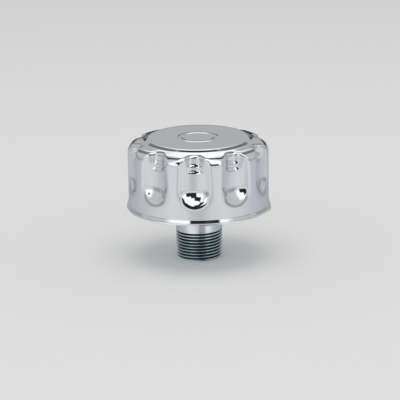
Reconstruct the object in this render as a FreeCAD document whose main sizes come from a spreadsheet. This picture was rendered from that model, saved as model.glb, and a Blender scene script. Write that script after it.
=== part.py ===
import FreeCAD, Part
import math
import os

import Sketcher
from FreeCAD import Placement, Rotation, Vector

# Crankcase breather filter: a fluted, chrome-plated cap rolled over a pressed base pan, with a pleated
# paper element held down by a spring inside it, on a turned spigot with a tapered pipe thread.
# Millimetres, +Z up. The origin is on the axis, at the thread's end face, where the part stands.

DOCUMENT = FreeCAD.newDocument("BreatherFilter")
SHEET = DOCUMENT.addObject("Spreadsheet::Sheet", "Sizes")

TOUCH = 1e-4
FULL_TURN = 360


class Size:
    """A length kept in the sheet, or one worked out from such lengths, with the formula that says so."""

    def __init__(self, value, formula):
        self.value = float(value)
        self.formula = formula

    def __float__(self):
        return self.value

    def __add__(self, other):
        return Size(self.value + float(other), f"({self.formula} + {formula_of(other)})")

    def __sub__(self, other):
        return Size(self.value - float(other), f"({self.formula} - {formula_of(other)})")

    def __mul__(self, other):
        return Size(self.value * float(other), f"({self.formula} * {formula_of(other)})")

    def __truediv__(self, other):
        return Size(self.value / float(other), f"({self.formula} / {formula_of(other)})")


def formula_of(size):
    return size.formula if isinstance(size, Size) else repr(float(size))


def size(name, value, meaning):
    """Write one driving dimension into the sheet and hand it back."""
    size.row += 1
    SHEET.set(f"A{size.row}", name)
    SHEET.set(f"B{size.row}", str(value))
    SHEET.set(f"C{size.row}", meaning)
    SHEET.setAlias(f"B{size.row}", name)
    return Size(value, f"{SHEET.Name}.{name}")


size.row = 0


# Driving dimensions of the cap
rim_height = size("rim_height", 29.0, "underside of the cap's rolled rim above the thread's end")
cap_height = size("cap_height", 41.5, "cap, from the rim's underside to the disc on top")
cap_radius = size("cap_radius", 41.25, "outside of the skirt at the rim")
cap_draft = size("cap_draft", 0.8, "how far the skirt leans in by its top")
cap_sheet = size("cap_sheet", 0.8, "sheet that the cap is drawn from")
disc_radius = size("disc_radius", 29.3, "raised disc on top")
disc_rise = size("disc_rise", 1.1, "disc above the flat shelf round it")
riser_run = size("riser_run", 0.7, "slope of the step between disc and shelf")
disc_round = size("disc_round", 0.9, "rounding of the disc's edge")
foot_round = size("foot_round", 0.9, "rounding at the foot of the step")
shoulder_round = size("shoulder_round", 6.8, "rounding between shelf and skirt")
rim_round = size("rim_round", 1.6, "rounding of the rolled rim")
lip_width = size("lip_width", 3.6, "how far the rolled lip reaches in under the pan")
bead_radius = size("bead_radius", 10.5, "stiffening ring pressed in the disc")
bead_round = size("bead_round", 1.7, "section of that ring")
bead_rise = size("bead_rise", 0.45, "ring above the disc")

# Driving dimensions of the flutes
flute_count = size("flute_count", 10, "flutes round the skirt")
flute_depth = size("flute_depth", 5.0, "flute at its deepest, from the skirt's outside")
flute_round = size("flute_round", 14.1, "hollow of a flute, and the ball that ends it")
flute_foot = size("flute_foot", 21.9, "centre of that ball above the rim")
flute_edge = size("flute_edge", 2.4, "rounding of a flute's edge")

# Driving dimensions of the two vent hoods in the skirt's foot
vent_round = size("vent_round", 20.0, "ball that a vent hood is pressed over")
vent_reach = size("vent_reach", 1.15, "hood, out from the skirt")
vent_sink = size("vent_sink", 2.3, "centre of that ball below the rim")
vent_turn = size("vent_turn", -4.6, "hoods, turned from the line between two flutes, in degrees")
vent_gap = size("vent_gap", 3.4, "depth of the slot between a hood and the pan")
vent_count = size("vent_count", 2, "hoods round the skirt")
slot_round = size("slot_round", 10.0, "round cutter of that slot")

# Driving dimensions of the spigot
bore_radius = size("bore_radius", 10.4, "way through the spigot")
thread_end_radius = size("thread_end_radius", 13.02, "thread's crests at its end")
thread_chamfer = size("thread_chamfer", 0.9, "chamfer at the thread's end")
pipe_radius = size("pipe_radius", 13.335, "plain neck, the outside of three-quarter inch pipe")
thread_taper = size("thread_taper", 32.0, "height in which the tapered crests grow by one in radius")
collar_radius = size("collar_radius", 16.6, "collar that carries the pan")
collar_height = size("collar_height", 2.4, "thickness of the collar")
tenon_radius = size("tenon_radius", 12.3, "stub through the pan, staked over on top")
stake_height = size("stake_height", 1.0, "staked edge above its washer")
stake_reach = size("stake_reach", 1.0, "staked edge, out from the stub")

# Driving dimensions of the pan and what is clamped to it
pan_sheet = size("pan_sheet", 1.0, "sheet that the pan is pressed from")
pan_gap = size("pan_gap", 0.2, "pan's edge clear of the skirt")
pan_flange = size("pan_flange", 5.0, "width of the pan's flange on the lip")
pan_joggle = size("pan_joggle", 1.6, "pan's deck above its flange")
pan_slope = size("pan_slope", 1.2, "run of the slope between flange and deck")
pan_round = size("pan_round", 0.45, "rounding of the pan's bends")
tenon_gap = size("tenon_gap", 0.1, "holes clear of the spigot's stub")
gasket_height = size("gasket_height", 0.8, "fibre ring between collar and pan")
washer_radius = size("washer_radius", 16.8, "washer under the staked edge")
washer_height = size("washer_height", 1.5, "thickness of that washer")

# Driving dimensions of the filter element
core_radius = size("core_radius", 18.2, "inside of the perforated core tube")
core_sheet = size("core_sheet", 0.7, "wall of the core tube")
plate_radius = size("plate_radius", 33.4, "outside of the element's end plates")
plate_sheet = size("plate_sheet", 0.6, "sheet of the end plates")
plate_rim = size("plate_rim", 3.2, "height of an end plate's rim")
plate_round = size("plate_round", 0.9, "rounding of an end plate's rim")
potting_height = size("potting_height", 1.6, "adhesive that holds the pleats")
seat_height = size("seat_height", 1.6, "soft ring under the element")
seat_width = size("seat_width", 9.0, "width of that ring")
media_height = size("media_height", 23.0, "pleats between the adhesive rings")
media_gap = size("media_gap", 0.25, "pleats clear of core and screen")
media_sheet = size("media_sheet", 0.6, "thickness of the paper")
pleat_count = size("pleat_count", 44, "pleats round the element")
screen_radius = size("screen_radius", 31.9, "inside of the outer screen")
screen_sheet = size("screen_sheet", 0.5, "sheet of the outer screen")
core_hole = size("core_hole", 2.1, "holes in the core tube")
core_columns = size("core_columns", 10, "columns of those holes")
screen_hole = size("screen_hole", 2.6, "holes in the outer screen")
screen_columns = size("screen_columns", 16, "columns of those holes")
hole_rows = size("hole_rows", 3, "rows of holes in the core tube and in the outer screen")

# Driving dimensions of the oil separator in the core tube
grid_gap = size("grid_gap", 0.2, "grids and pad clear of the core tube")
grid_sheet = size("grid_sheet", 0.8, "sheet of the two grids")
grid_hole = size("grid_hole", 2.6, "holes in the grids")
grid_hole_circle = size("grid_hole_circle", 9.6, "circle that those holes stand on")
grid_hole_count = size("grid_hole_count", 9, "holes in a grid")
pad_height = size("pad_height", 9.0, "knitted wire pad")
clip_wire = size("clip_wire", 1.2, "wire of the retaining ring")
clip_gap = size("clip_gap", 0.05, "ring clear of the core tube's wall")
clip_sweep = size("clip_sweep", 325, "how far the ring runs round, in degrees")
baffle_radius = size("baffle_radius", 8.4, "splash baffle in the spigot's mouth")
baffle_sheet = size("baffle_sheet", 0.8, "sheet of the baffle")
baffle_drop = size("baffle_drop", 6.0, "baffle below the spigot's top")
baffle_flat = size("baffle_flat", 4.2, "radius of the baffle's flat middle")
baffle_dish = size("baffle_dish", 2.0, "how far the baffle's edge hangs down")
stud_radius = size("stud_radius", 2.4, "stud between grid and baffle")
stud_head = size("stud_head", 3.4, "heads of the riveted tails")
head_height = size("head_height", 1.0, "thickness of a riveted head")

# Driving dimensions of the hold-down spring
cup_radius = size("cup_radius", 14.5, "spring cup on the element")
cup_sheet = size("cup_sheet", 0.6, "sheet of the cup")
cup_rim = size("cup_rim", 2.6, "height of the cup's rim")
spring_radius = size("spring_radius", 12.2, "middle of the spring's wire from the axis")
spring_wire = size("spring_wire", 1.8, "wire of the spring")
spring_turns = size("spring_turns", 2.5, "turns of the spring")
spring_gap = size("spring_gap", 0.05, "spring's ends clear of their seats")

# Heights that the parts are stacked by, from the rim up
disc_top = rim_height + cap_height
shelf_top = disc_top - disc_rise
lip_top = rim_height + cap_sheet
deck_under = lip_top + pan_joggle
deck_top = deck_under + pan_sheet
collar_top = deck_under - gasket_height
washer_top = deck_top + washer_height
spigot_top = washer_top + stake_height
seat_top = deck_top + seat_height
lower_plate_top = seat_top + plate_sheet
media_foot = lower_plate_top + potting_height
media_top = media_foot + media_height
upper_plate_under = media_top + potting_height
upper_plate_top = upper_plate_under + plate_sheet
cup_top = upper_plate_top + cup_sheet
disc_under = disc_top - cap_sheet
grid_top = spigot_top + grid_sheet
pad_top = grid_top + pad_height
upper_grid_top = pad_top + grid_sheet
core_outside = core_radius + core_sheet
plate_inside = plate_radius - plate_sheet
pan_radius = cap_radius - cap_sheet - pan_gap
tenon_hole = tenon_radius + tenon_gap
grid_radius = core_radius - grid_gap
taper_height = (pipe_radius - thread_end_radius) * thread_taper
ZERO = Size(0, "0")


def new_body(name):
    body = DOCUMENT.addObject("PartDesign::Body", name)
    body.Label = name
    return body


def origin_feature(body, role):
    return next(item for item in body.Origin.OriginFeatures if item.Role == role)


def bind(thing, setting, value):
    """Tie one setting of an object to its size in the sheet."""
    thing.setExpression(setting, value.formula)


def new_sketch(body, name, role="XZ_Plane"):
    sketch = body.newObject("Sketcher::SketchObject", name)
    sketch.AttachmentSupport = [(origin_feature(body, role), "")]
    sketch.MapMode = "FlatFace"
    return sketch


def tie_corner(sketch, line, across, up):
    """Hold the start of one line of a sketch at its two sizes from the sketch's origin."""
    for way, axis, value in (("DistanceX", -2, across), ("DistanceY", -1, up)):
        if value is ZERO:
            sketch.addConstraint(Sketcher.Constraint("PointOnObject", line, 1, axis))
            continue
        number = sketch.addConstraint(Sketcher.Constraint(way, -1, 1, line, 1, float(value)))
        bind(sketch, f"Constraints[{number}]", value)


def draw_outline(body, name, corners):
    """Draw a closed outline of (radius, height) corners, each tied to its sizes."""
    sketch = new_sketch(body, name)
    places = [Vector(float(radius), float(height), 0) for radius, height in corners]
    for start, end in zip(places, places[1:] + places[:1]):
        sketch.addGeometry(Part.LineSegment(start, end), False)
    for line in range(len(places)):
        following = (line + 1) % len(places)
        sketch.addConstraint(Sketcher.Constraint("Coincident", line, 2, following, 1))
    for line, (radius, height) in enumerate(corners):
        tie_corner(sketch, line, radius, height)
    return sketch


def draw_round(body, name, across, up, radius):
    """Draw a circle with its centre and radius tied to their sizes."""
    sketch = new_sketch(body, name)
    centre = Vector(float(across), float(up), 0)
    sketch.addGeometry(Part.Circle(centre, Vector(0, 0, 1), float(radius)), False)
    for way, place, value in (("DistanceX", -2, across), ("DistanceY", -1, up)):
        number = sketch.addConstraint(Sketcher.Constraint(way, -1, 1, 0, 3, float(value)))
        bind(sketch, f"Constraints[{number}]", value)
    number = sketch.addConstraint(Sketcher.Constraint("Radius", 0, float(radius)))
    bind(sketch, f"Constraints[{number}]", radius)
    return sketch


def revolve(body, name, sketch, sweep=FULL_TURN):
    turned = body.newObject("PartDesign::Revolution", name)
    turned.Profile = sketch
    turned.ReferenceAxis = (sketch, ["V_Axis"])
    turned.Angle = float(sweep)
    DOCUMENT.recompute()


def turned_body(name, corners):
    """A piece turned or pressed round the axis from one outline."""
    body = new_body(name)
    revolve(body, f"{name}_turned", draw_outline(body, f"{name}_outline", corners))
    return body


def ring_at(radius, height):
    """A test for the circular edge of that radius round the axis, at that height."""

    def test(edge):
        if not isinstance(edge.Curve, Part.Circle):
            return False
        centre = edge.Curve.Center
        on_axis = math.hypot(centre.x, centre.y) < TOUCH
        at_height = abs(centre.z - float(height)) < TOUCH
        return on_axis and at_height and abs(edge.Curve.Radius - float(radius)) < TOUCH

    return test


def round_edges(body, name, radius, *tests):
    """Round the edges of the body's tip that pass any of the tests."""
    base = body.Tip
    chosen = [
        f"Edge{number}"
        for number, edge in enumerate(base.Shape.Edges, 1)
        if any(test(edge) for test in tests)
    ]
    if not chosen:
        raise RuntimeError(f"{name} finds no edge to round")
    fillet = body.newObject("PartDesign::Fillet", name)
    fillet.Base = (base, chosen)
    bind(fillet, "Radius", radius)
    DOCUMENT.recompute()
    return fillet


def place(feature, x=None, z=None):
    """Tie the place of a primitive to its sizes."""
    for axis, value in (("x", x), ("z", z)):
        if value is not None:
            bind(feature, f"Placement.Base.{axis}", value)


def place_at_vent(feature, reach, side, height):
    """Tie a shape's centre to a vent hood's direction, at that reach from the axis."""
    angle = Size(side, repr(float(side))) + vent_turn
    for axis, turn in (("x", "cos"), ("y", "sin")):
        across = f"{reach.formula} * {turn}({angle.formula} * 1 deg)"
        feature.setExpression(f"Placement.Base.{axis}", across)
    bind(feature, "Placement.Base.z", height)


def repeat_round(body, name, originals, count):
    pattern = body.newObject("PartDesign::PolarPattern", name)
    pattern.Originals = originals
    pattern.Axis = (origin_feature(body, "Z_Axis"), [""])
    pattern.Angle = FULL_TURN
    bind(pattern, "Occurrences", count)
    body.Tip = pattern
    DOCUMENT.recompute()
    return pattern


# The cap: its outside and its inside are the same form, one sheet apart
flute_axis = cap_radius - flute_depth + flute_round
flute_ball = rim_height + flute_foot


def draw_flute(body, name, inset):
    """Draw half a flute's hollow: a quarter round under an upright strip, beside the flute's own axis."""
    sketch = new_sketch(body, name, "YZ_Plane")
    radius = flute_round + inset
    across, up, wide, top = -float(flute_axis), float(flute_ball), float(radius), float(disc_top)
    foot = Vector(across, up - wide, 0)
    middle = Vector(across + wide * math.sin(math.pi / 4), up - wide * math.cos(math.pi / 4), 0)
    side = Vector(across + wide, up, 0)
    high_side = Vector(across + wide, top, 0)
    high_axis = Vector(across, top, 0)
    sketch.addGeometry(Part.Arc(foot, middle, side), False)
    for start, end in ((side, high_side), (high_side, high_axis), (high_axis, foot)):
        sketch.addGeometry(Part.LineSegment(start, end), False)
    for joint in ((0, 2, 1, 1), (1, 2, 2, 1), (2, 2, 3, 1), (3, 2, 0, 1)):
        sketch.addConstraint(Sketcher.Constraint("Coincident", *joint))
    sketch.addConstraint(Sketcher.Constraint("Vertical", 1))
    sketch.addConstraint(Sketcher.Constraint("Horizontal", 2))
    sketch.addConstraint(Sketcher.Constraint("Horizontal", 0, 3, 0, 2))
    sketch.addConstraint(Sketcher.Constraint("Vertical", 0, 3, 0, 1))
    for way, ends, value in (
        ("DistanceX", (0, 3, -1, 1), flute_axis),
        ("DistanceY", (-1, 1, 0, 3), flute_ball),
        ("DistanceY", (-1, 1, 2, 1), disc_top),
        ("Radius", (0,), radius),
    ):
        number = sketch.addConstraint(Sketcher.Constraint(way, *ends, float(value)))
        bind(sketch, f"Constraints[{number}]", value)
    return sketch


def flute_edges(body, inset):
    """A test for the edges where the flutes leave skirt, shoulder and shelf."""
    shape = body.Tip.Shape
    radius = float(flute_round + inset)

    def in_flute(face):
        hollow = isinstance(face.Surface, (Part.Cylinder, Part.Sphere))
        return hollow and abs(face.Surface.Radius - radius) < TOUCH

    def test(edge):
        faces = shape.ancestorsOfType(edge, Part.Face)
        return len(faces) == 2 and sum(in_flute(face) for face in faces) == 1

    return test


def cap_form(name, inset):
    """The cap's outer form, or the hollow in it one sheet further in."""
    body = new_body(name)
    foot = rim_height + inset
    corners = [
        (ZERO, foot),
        (cap_radius - inset, foot),
        (cap_radius - cap_draft - inset, shelf_top - inset),
        (disc_radius + riser_run - inset, shelf_top - inset),
        (disc_radius - inset, disc_top - inset),
        (ZERO, disc_top - inset),
    ]
    revolve(body, f"{name}_turned", draw_outline(body, f"{name}_outline", corners))
    for edge_name, radius, edge_radius, height in (
        ("disc_edge", disc_round - inset, disc_radius - inset, disc_top - inset),
        ("step_foot", foot_round + inset, disc_radius + riser_run - inset, shelf_top - inset),
        ("shoulder", shoulder_round - inset, cap_radius - cap_draft - inset, shelf_top - inset),
        ("rim", rim_round - inset, cap_radius - inset, foot),
    ):
        round_edges(body, f"{name}_{edge_name}", radius, ring_at(edge_radius, height))

    flute = body.newObject("PartDesign::Groove", f"{name}_flute")
    flute.Profile = draw_flute(body, f"{name}_flute_outline", inset)
    flute.ReferenceAxis = (flute.Profile[0], ["Edge4"])
    flute.Angle = FULL_TURN
    repeat_round(body, f"{name}_flutes", [flute], flute_count)
    round_edges(body, f"{name}_flute_edges", flute_edge - inset, flute_edges(body, inset))

    bead = body.newObject("PartDesign::AdditiveTorus", f"{name}_bead")
    bind(bead, "Radius1", bead_radius)
    bind(bead, "Radius2", bead_round - inset)
    place(bead, z=disc_top + bead_rise - bead_round)
    DOCUMENT.recompute()
    return body


def vent_ball(name, inset):
    """The ball that the vent hoods are pressed over, once for each hood."""
    balls = []
    for number in range(int(float(vent_count))):
        side = number * FULL_TURN / float(vent_count)
        ball = DOCUMENT.addObject("Part::Sphere", f"{name}_{number}")
        bind(ball, "Radius", vent_round - inset)
        place_at_vent(ball, cap_radius + vent_reach - vent_round, side, rim_height - vent_sink)
        balls.append(ball)
    return balls


def make_cap_shell():
    """Fluted cap, drawn from one sheet, with two vent hoods in its skirt and its rim rolled in."""
    outside = cap_form("cap_outside", ZERO)
    inside = cap_form("cap_inside", cap_sheet)
    bulged = DOCUMENT.addObject("Part::MultiFuse", "cap_bulged")
    bulged.Shapes = [outside] + vent_ball("vent_outside", ZERO)

    below = DOCUMENT.addObject("Part::Cylinder", "below_rim")
    bind(below, "Radius", cap_radius * 2)
    bind(below, "Height", vent_round * 2)
    bind(below, "Placement.Base.z", rim_height - vent_round * 2)
    mouth = DOCUMENT.addObject("Part::Cylinder", "lip_mouth")
    bind(mouth, "Radius", cap_radius - lip_width)
    bind(mouth, "Height", cap_sheet * 2)
    bind(mouth, "Placement.Base.z", rim_height - cap_sheet / 2)
    hollow = DOCUMENT.addObject("Part::MultiFuse", "cap_hollow")
    hollow.Shapes = [inside, below, mouth] + vent_ball("vent_inside", cap_sheet)

    cap = DOCUMENT.addObject("Part::Cut", "cap_shell")
    cap.Base = bulged
    cap.Tool = hollow
    cap.Label = "cap_shell"
    DOCUMENT.recompute()
    return cap


# The base: pan, spigot and what joins them
def make_base_pan():
    """Pan on the rolled lip, with a raised deck and a slot at each vent hood."""
    flange_inner = pan_radius - pan_flange
    deck_outer = flange_inner - pan_slope
    flange_top = lip_top + pan_sheet
    body = turned_body(
        "base_pan",
        [
            (tenon_hole, deck_under),
            (deck_outer, deck_under),
            (flange_inner, lip_top),
            (pan_radius, lip_top),
            (pan_radius, flange_top),
            (flange_inner, flange_top),
            (deck_outer, deck_top),
            (tenon_hole, deck_top),
        ],
    )
    round_edges(
        body,
        "pan_inner_bends",
        pan_round,
        ring_at(deck_outer, deck_under),
        ring_at(flange_inner, flange_top),
    )
    round_edges(
        body,
        "pan_outer_bends",
        pan_round + pan_sheet,
        ring_at(deck_outer, deck_top),
        ring_at(flange_inner, lip_top),
    )
    round_edges(body, "pan_edge", rim_round - cap_sheet, ring_at(pan_radius, lip_top))
    slot = body.newObject("PartDesign::SubtractiveCylinder", "vent_slot")
    bind(slot, "Radius", slot_round)
    bind(slot, "Height", pan_sheet * 2)
    reach = cap_radius - vent_gap + vent_reach + slot_round
    place_at_vent(slot, reach, 0, lip_top - pan_sheet / 2)
    repeat_round(body, "vent_slots", [slot], vent_count)
    return body


def make_threaded_spigot():
    """Turned spigot: chamfered taper thread left as its crest line, neck, collar and staked tenon."""
    stake_radius = tenon_radius + stake_reach
    return turned_body(
        "threaded_spigot",
        [
            (bore_radius, ZERO),
            (thread_end_radius - thread_chamfer, ZERO),
            (thread_end_radius, thread_chamfer),
            (pipe_radius, thread_chamfer + taper_height),
            (pipe_radius, collar_top - collar_height),
            (collar_radius, collar_top - collar_height),
            (collar_radius, collar_top),
            (tenon_radius, collar_top),
            (tenon_radius, washer_top),
            (stake_radius, washer_top),
            (tenon_radius, spigot_top),
            (bore_radius, spigot_top),
        ],
    )


def flat_ring(name, inner, outer, foot, top):
    """A plain flat ring, such as a washer or a gasket."""
    return turned_body(name, [(inner, foot), (outer, foot), (outer, top), (inner, top)])


# The filter element
def make_end_plate(name, inner, face, way):
    """End plate with a rolled edge, its rim turned towards the pleats."""
    back = face + plate_sheet * way
    rim = back + plate_rim * way
    body = turned_body(
        name,
        [
            (inner, face),
            (plate_radius, face),
            (plate_radius, rim),
            (plate_inside, rim),
            (plate_inside, back),
            (inner, back),
        ],
    )
    round_edges(body, f"{name}_edge", plate_round, ring_at(plate_radius, face))
    return body


def make_pleated_media():
    """Paper folded to and fro between the core tube and the outer screen, as one closed strip."""
    low = float(core_outside + media_gap)
    high = float(screen_radius - media_gap)
    folds = 2 * int(float(pleat_count))
    turn = 2 * math.pi / folds
    lean = math.atan2(high * math.sin(turn), high * math.cos(turn) - low)
    half = float(media_sheet) / 2 / math.sin(lean)
    inner = low + half
    outer = high - half

    def fold_line(offset):
        """One side of the folded strip, with every fold moved out by the same amount."""
        corners = []
        for fold in range(folds):
            radius = (outer, inner)[fold % 2] + offset
            angle = fold * turn
            corners.append(Vector(radius * math.cos(angle), radius * math.sin(angle), float(media_foot)))
        return Part.makePolygon(corners + corners[:1])

    face = Part.makeFace([fold_line(half), fold_line(-half)], "Part::FaceMakerBullseye")
    feature = DOCUMENT.addObject("Part::Feature", "pleated_media")
    feature.Shape = face.extrude(Vector(0, 0, float(media_height)))
    feature.Label = "pleated_media"
    return feature


def make_perforated_tube(name, inner, wall, hole, columns):
    """Tube between the end plates, with rows of round holes through it."""
    body = flat_ring(name, inner, inner + wall, lower_plate_top, upper_plate_under)
    cutters = []
    height = upper_plate_under - lower_plate_top
    for row in range(int(float(hole_rows))):
        cutter = body.newObject("PartDesign::SubtractiveCylinder", f"{name}_hole_{row}")
        bind(cutter, "Radius", hole)
        bind(cutter, "Height", inner + wall * 2)
        cutter.Placement = Placement(Vector(0, 0, 0), Rotation(Vector(0, 1, 0), 90))
        place(cutter, z=lower_plate_top + height * (row + 0.5) / hole_rows)
        cutters.append(cutter)
    repeat_round(body, f"{name}_holes", cutters, columns)
    return body


# The oil separator
def make_grid(name, foot, centre_hole):
    """Round grid with one ring of holes, and a hole for the stud if it has one."""
    top = foot + grid_sheet
    inner = stud_radius + tenon_gap if centre_hole else ZERO
    body = flat_ring(name, inner, grid_radius, foot, top)
    hole = body.newObject("PartDesign::SubtractiveCylinder", f"{name}_hole")
    bind(hole, "Radius", grid_hole)
    bind(hole, "Height", grid_sheet * 2)
    place(hole, x=grid_hole_circle, z=foot - grid_sheet / 2)
    repeat_round(body, f"{name}_holes", [hole], grid_hole_count)
    return body


def make_splash_baffle():
    """Dished baffle that throws splashed oil back down the spigot."""
    crown = spigot_top - baffle_drop
    under = crown - baffle_sheet
    return turned_body(
        "splash_baffle",
        [
            (stud_radius + tenon_gap, under),
            (baffle_flat, under),
            (baffle_radius, under - baffle_dish),
            (baffle_radius, crown - baffle_dish),
            (baffle_flat, crown),
            (stud_radius + tenon_gap, crown),
        ],
    )


def make_baffle_stud():
    """Shouldered stud, riveted over under the baffle and above the lower grid."""
    crown = spigot_top - baffle_drop
    return turned_body(
        "baffle_stud",
        [
            (ZERO, crown - baffle_sheet - head_height),
            (stud_head, crown - baffle_sheet - head_height),
            (stud_head, crown - baffle_sheet),
            (stud_radius, crown - baffle_sheet),
            (stud_radius, crown),
            (stud_head, crown),
            (stud_head, spigot_top),
            (stud_radius, spigot_top),
            (stud_radius, grid_top),
            (stud_head, grid_top),
            (stud_head, grid_top + head_height),
            (ZERO, grid_top + head_height),
        ],
    )


def make_pad_clip():
    """Sprung wire ring, open at one side, that keeps the upper grid down."""
    body = new_body("pad_clip")
    section = draw_round(
        body,
        "pad_clip_section",
        core_radius - clip_wire / 2 - clip_gap,
        upper_grid_top + clip_wire / 2,
        clip_wire / 2,
    )
    revolve(body, "pad_clip_turned", section, clip_sweep)
    return body


# The hold-down spring
def make_spring_cup():
    """Pressed cup that keeps the spring in the middle of the element."""
    body = turned_body(
        "spring_cup",
        [
            (ZERO, upper_plate_top),
            (cup_radius, upper_plate_top),
            (cup_radius, upper_plate_top + cup_rim),
            (cup_radius - cup_sheet, upper_plate_top + cup_rim),
            (cup_radius - cup_sheet, cup_top),
            (ZERO, cup_top),
        ],
    )
    round_edges(body, "spring_cup_edge", plate_round, ring_at(cup_radius, upper_plate_top))
    return body


def make_spring():
    """Coil spring between the cup and the underside of the disc."""
    body = new_body("hold_down_spring")
    foot = cup_top + spring_gap + spring_wire / 2
    travel = disc_under - spring_gap * 2 - cup_top - spring_wire
    section = draw_round(body, "spring_section", spring_radius, foot, spring_wire / 2)
    coil = body.newObject("PartDesign::AdditiveHelix", "spring_coil")
    coil.Profile = section
    coil.ReferenceAxis = (section, ["V_Axis"])
    coil.Mode = 0
    bind(coil, "Height", travel)
    bind(coil, "Pitch", travel / spring_turns)
    DOCUMENT.recompute()
    return body


def make_all():
    """Every piece, from the outside in."""
    pieces = [
        make_cap_shell(),
        make_base_pan(),
        make_threaded_spigot(),
        flat_ring("spigot_gasket", tenon_hole, collar_radius, collar_top, deck_under),
        flat_ring("backing_washer", tenon_hole, washer_radius, deck_top, washer_top),
        flat_ring("element_seat_ring", plate_inside - seat_width, plate_inside, deck_top, seat_top),
        make_end_plate("lower_end_plate", core_radius, seat_top, 1),
        make_end_plate("upper_end_plate", ZERO, upper_plate_top, -1),
        make_pleated_media(),
        make_perforated_tube("core_tube", core_radius, core_sheet, core_hole, core_columns),
        make_perforated_tube("outer_screen", screen_radius, screen_sheet, screen_hole, screen_columns),
        flat_ring("lower_potting", core_outside, screen_radius, lower_plate_top, media_foot),
        flat_ring("upper_potting", core_outside, screen_radius, media_top, upper_plate_under),
        make_grid("lower_grid", spigot_top, True),
        make_grid("upper_grid", pad_top, False),
        make_splash_baffle(),
        make_baffle_stud(),
        flat_ring("mesh_pad", stud_head, grid_radius, grid_top, pad_top),
        make_pad_clip(),
        make_spring_cup(),
        make_spring(),
    ]
    DOCUMENT.recompute()
    return pieces


def check(pieces):
    """Stop with a plain message if any object failed or any piece isn't one sound solid."""
    failed = [item.Name for item in DOCUMENT.Objects if {"Invalid", "Error"} & set(item.State)]
    unsound = [piece.Label for piece in pieces if piece.Shape.isNull() or not piece.Shape.isValid()]
    split = [piece.Label for piece in pieces if len(piece.Shape.Solids) != 1]
    if failed or unsound or split:
        raise RuntimeError(f"failed {failed}, unsound {unsound}, not one solid {split}")


def main():
    pieces = make_all()
    check(pieces)
    os.makedirs("parts", exist_ok=True)
    for piece in pieces:
        piece.Shape.exportStep(os.path.join("parts", f"{piece.Label}.step"))


main()
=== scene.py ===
import math

import bpy
from mathutils import Matrix, Vector


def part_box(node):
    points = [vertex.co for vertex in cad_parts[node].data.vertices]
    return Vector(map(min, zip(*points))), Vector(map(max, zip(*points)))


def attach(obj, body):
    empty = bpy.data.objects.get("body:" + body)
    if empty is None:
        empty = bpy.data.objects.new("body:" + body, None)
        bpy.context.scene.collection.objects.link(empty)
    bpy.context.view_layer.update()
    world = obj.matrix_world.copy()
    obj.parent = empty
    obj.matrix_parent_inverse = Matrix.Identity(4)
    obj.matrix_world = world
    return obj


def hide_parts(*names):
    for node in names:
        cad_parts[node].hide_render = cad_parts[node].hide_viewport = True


bl_info = {
    "name": "Crankcase Breather Filter",
    "version": (1, 0, 0),
    "blender": (4, 5, 0),
    "location": "3D View > Sidebar > Breather",
    "description": "Chrome breather cap on its threaded spigot, dressed round the solid frame",
    "category": "Object",
}

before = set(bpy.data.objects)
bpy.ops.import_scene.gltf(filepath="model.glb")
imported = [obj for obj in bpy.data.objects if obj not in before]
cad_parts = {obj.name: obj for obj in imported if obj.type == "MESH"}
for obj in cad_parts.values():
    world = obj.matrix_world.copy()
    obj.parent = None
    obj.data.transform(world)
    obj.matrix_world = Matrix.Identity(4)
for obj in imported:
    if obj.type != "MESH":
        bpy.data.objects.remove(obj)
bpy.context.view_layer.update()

MM = 0.001
SMALLEST = 1e-6


# Sizes and colours that a user would change
def length(name, description, default):
    """A length property, given in metres."""
    return bpy.props.FloatProperty(
        name=name, description=description, default=default, unit="LENGTH", subtype="DISTANCE", precision=5
    )


def turn(name, description, default):
    """An angle property, given in degrees."""
    return bpy.props.FloatProperty(
        name=name, description=description, default=math.radians(default), unit="ROTATION", subtype="ANGLE"
    )


def colour(name, description, default):
    """A linear colour property."""
    return bpy.props.FloatVectorProperty(
        name=name, description=description, default=default, size=3, subtype="COLOR", min=0.0, max=1.0
    )


class BreatherCapSizes(bpy.types.PropertyGroup):
    """Sizes of the pressed cap."""

    rim_height: length("Rim height", "Underside of the rolled rim above the thread's end", 29.0 * MM)
    disc_top: length("Disc top", "Top of the raised disc above the thread's end", 70.74 * MM)
    radius: length("Radius", "Skirt radius at the rim", 41.15 * MM)
    draft: length("Draft", "How much narrower the skirt is at its top", 0.6 * MM)
    sheet: length("Sheet", "Thickness of the cap's sheet", 0.8 * MM)
    disc_radius: length("Disc radius", "Radius of the raised disc", 29.2 * MM)
    disc_rise: length("Disc rise", "Height of the disc above the shelf", 1.45 * MM)
    riser_run: length("Riser run", "How far the disc's riser leans out", 2.0 * MM)
    shelf_fall: length("Shelf fall", "How much lower the shelf is at the skirt", 1.5 * MM)
    edge_round: length("Disc rounding", "Rounding of the disc's edge and foot", 2.2 * MM)
    shoulder_round: length("Shoulder rounding", "Rounding from the shelf to the skirt", 6.2 * MM)
    rim_round: length("Rim rounding", "Rounding where the rim rolls in", 1.1 * MM)
    rim_flare: length("Rim flare", "How far the rim's bead stands out from the skirt", 0.7 * MM)
    flare_low: length("Flare foot", "Height above the rim where the bead is widest", 1.4 * MM)
    flare_high: length("Flare top", "Height above the rim where the bead leaves the skirt", 3.3 * MM)
    lip_width: length("Lip width", "How far the lip reaches in under the pan", 3.6 * MM)
    bead_radius: length("Bead radius", "Radius of the stiffening bead on the disc", 10.5 * MM)
    bead_rise: length("Bead rise", "Height of the bead above the disc", 0.2 * MM)
    bead_width: length("Bead width", "Width of the bead at its foot", 3.1 * MM)


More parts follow.
